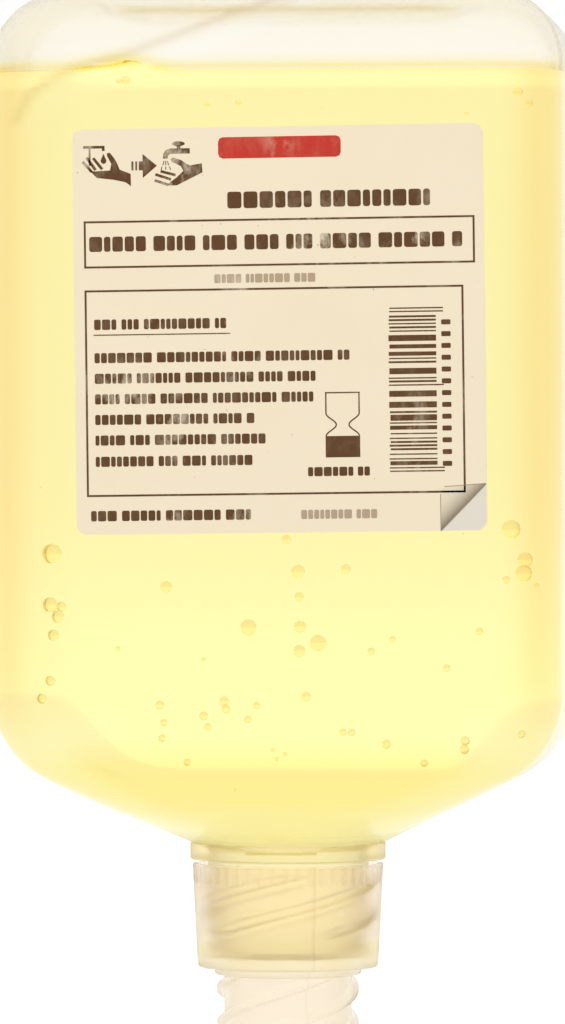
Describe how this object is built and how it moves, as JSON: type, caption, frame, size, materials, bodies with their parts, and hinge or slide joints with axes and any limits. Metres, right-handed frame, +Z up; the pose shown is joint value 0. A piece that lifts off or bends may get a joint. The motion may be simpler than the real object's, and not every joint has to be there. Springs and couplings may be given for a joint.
{
  "type": "hand soap refill pack",
  "caption": "Neck-down refill bottle of liquid hand soap: translucent moulded body with a front label and a screw cap whose coarse-threaded spigot plugs into a dispenser.",
  "frame": {"origin": "centre of the spigot's mouth, the lowest point of the pack as it hangs in its dispenser", "axes": "+Z up along the neck to the bottle's base, the front panel with the label faces -Y, +X to the right seen from the front"},
  "size_m": [0.0872, 0.0566, 0.1635],
  "materials": {
    "bottle": "natural translucent blow-moulded plastic, satin",
    "soap": "clear yellow liquid",
    "label": "printed paper with a worn satin face",
    "sealing_disc": "soft plastic film disc",
    "cap": "natural translucent moulded plastic"
  },
  "bodies": {
    "filled bottle": {"bottle": "bottle", "soap": "soap", "label": "label"},
    "seal": {"sealing_disc": "sealing_disc"},
    "screw cap": {"cap": "cap"}
  },
  "joints": [
    {"name": "cap_lift", "type": "slide", "parent": "filled bottle", "child": "seal", "axis": [0, 0, -1], "range_m": [0, 0.0102]},
    {"name": "cap_turn", "type": "hinge", "parent": "seal", "child": "screw cap", "pos_m": [0, 0, 0.014], "axis": [0, 0, -1], "range_deg": [0, 170]}
  ],
  "couplings": [
    {"joint": "cap_lift", "follows": "cap_turn", "m_per_rad": 0.0034059}
  ]
}
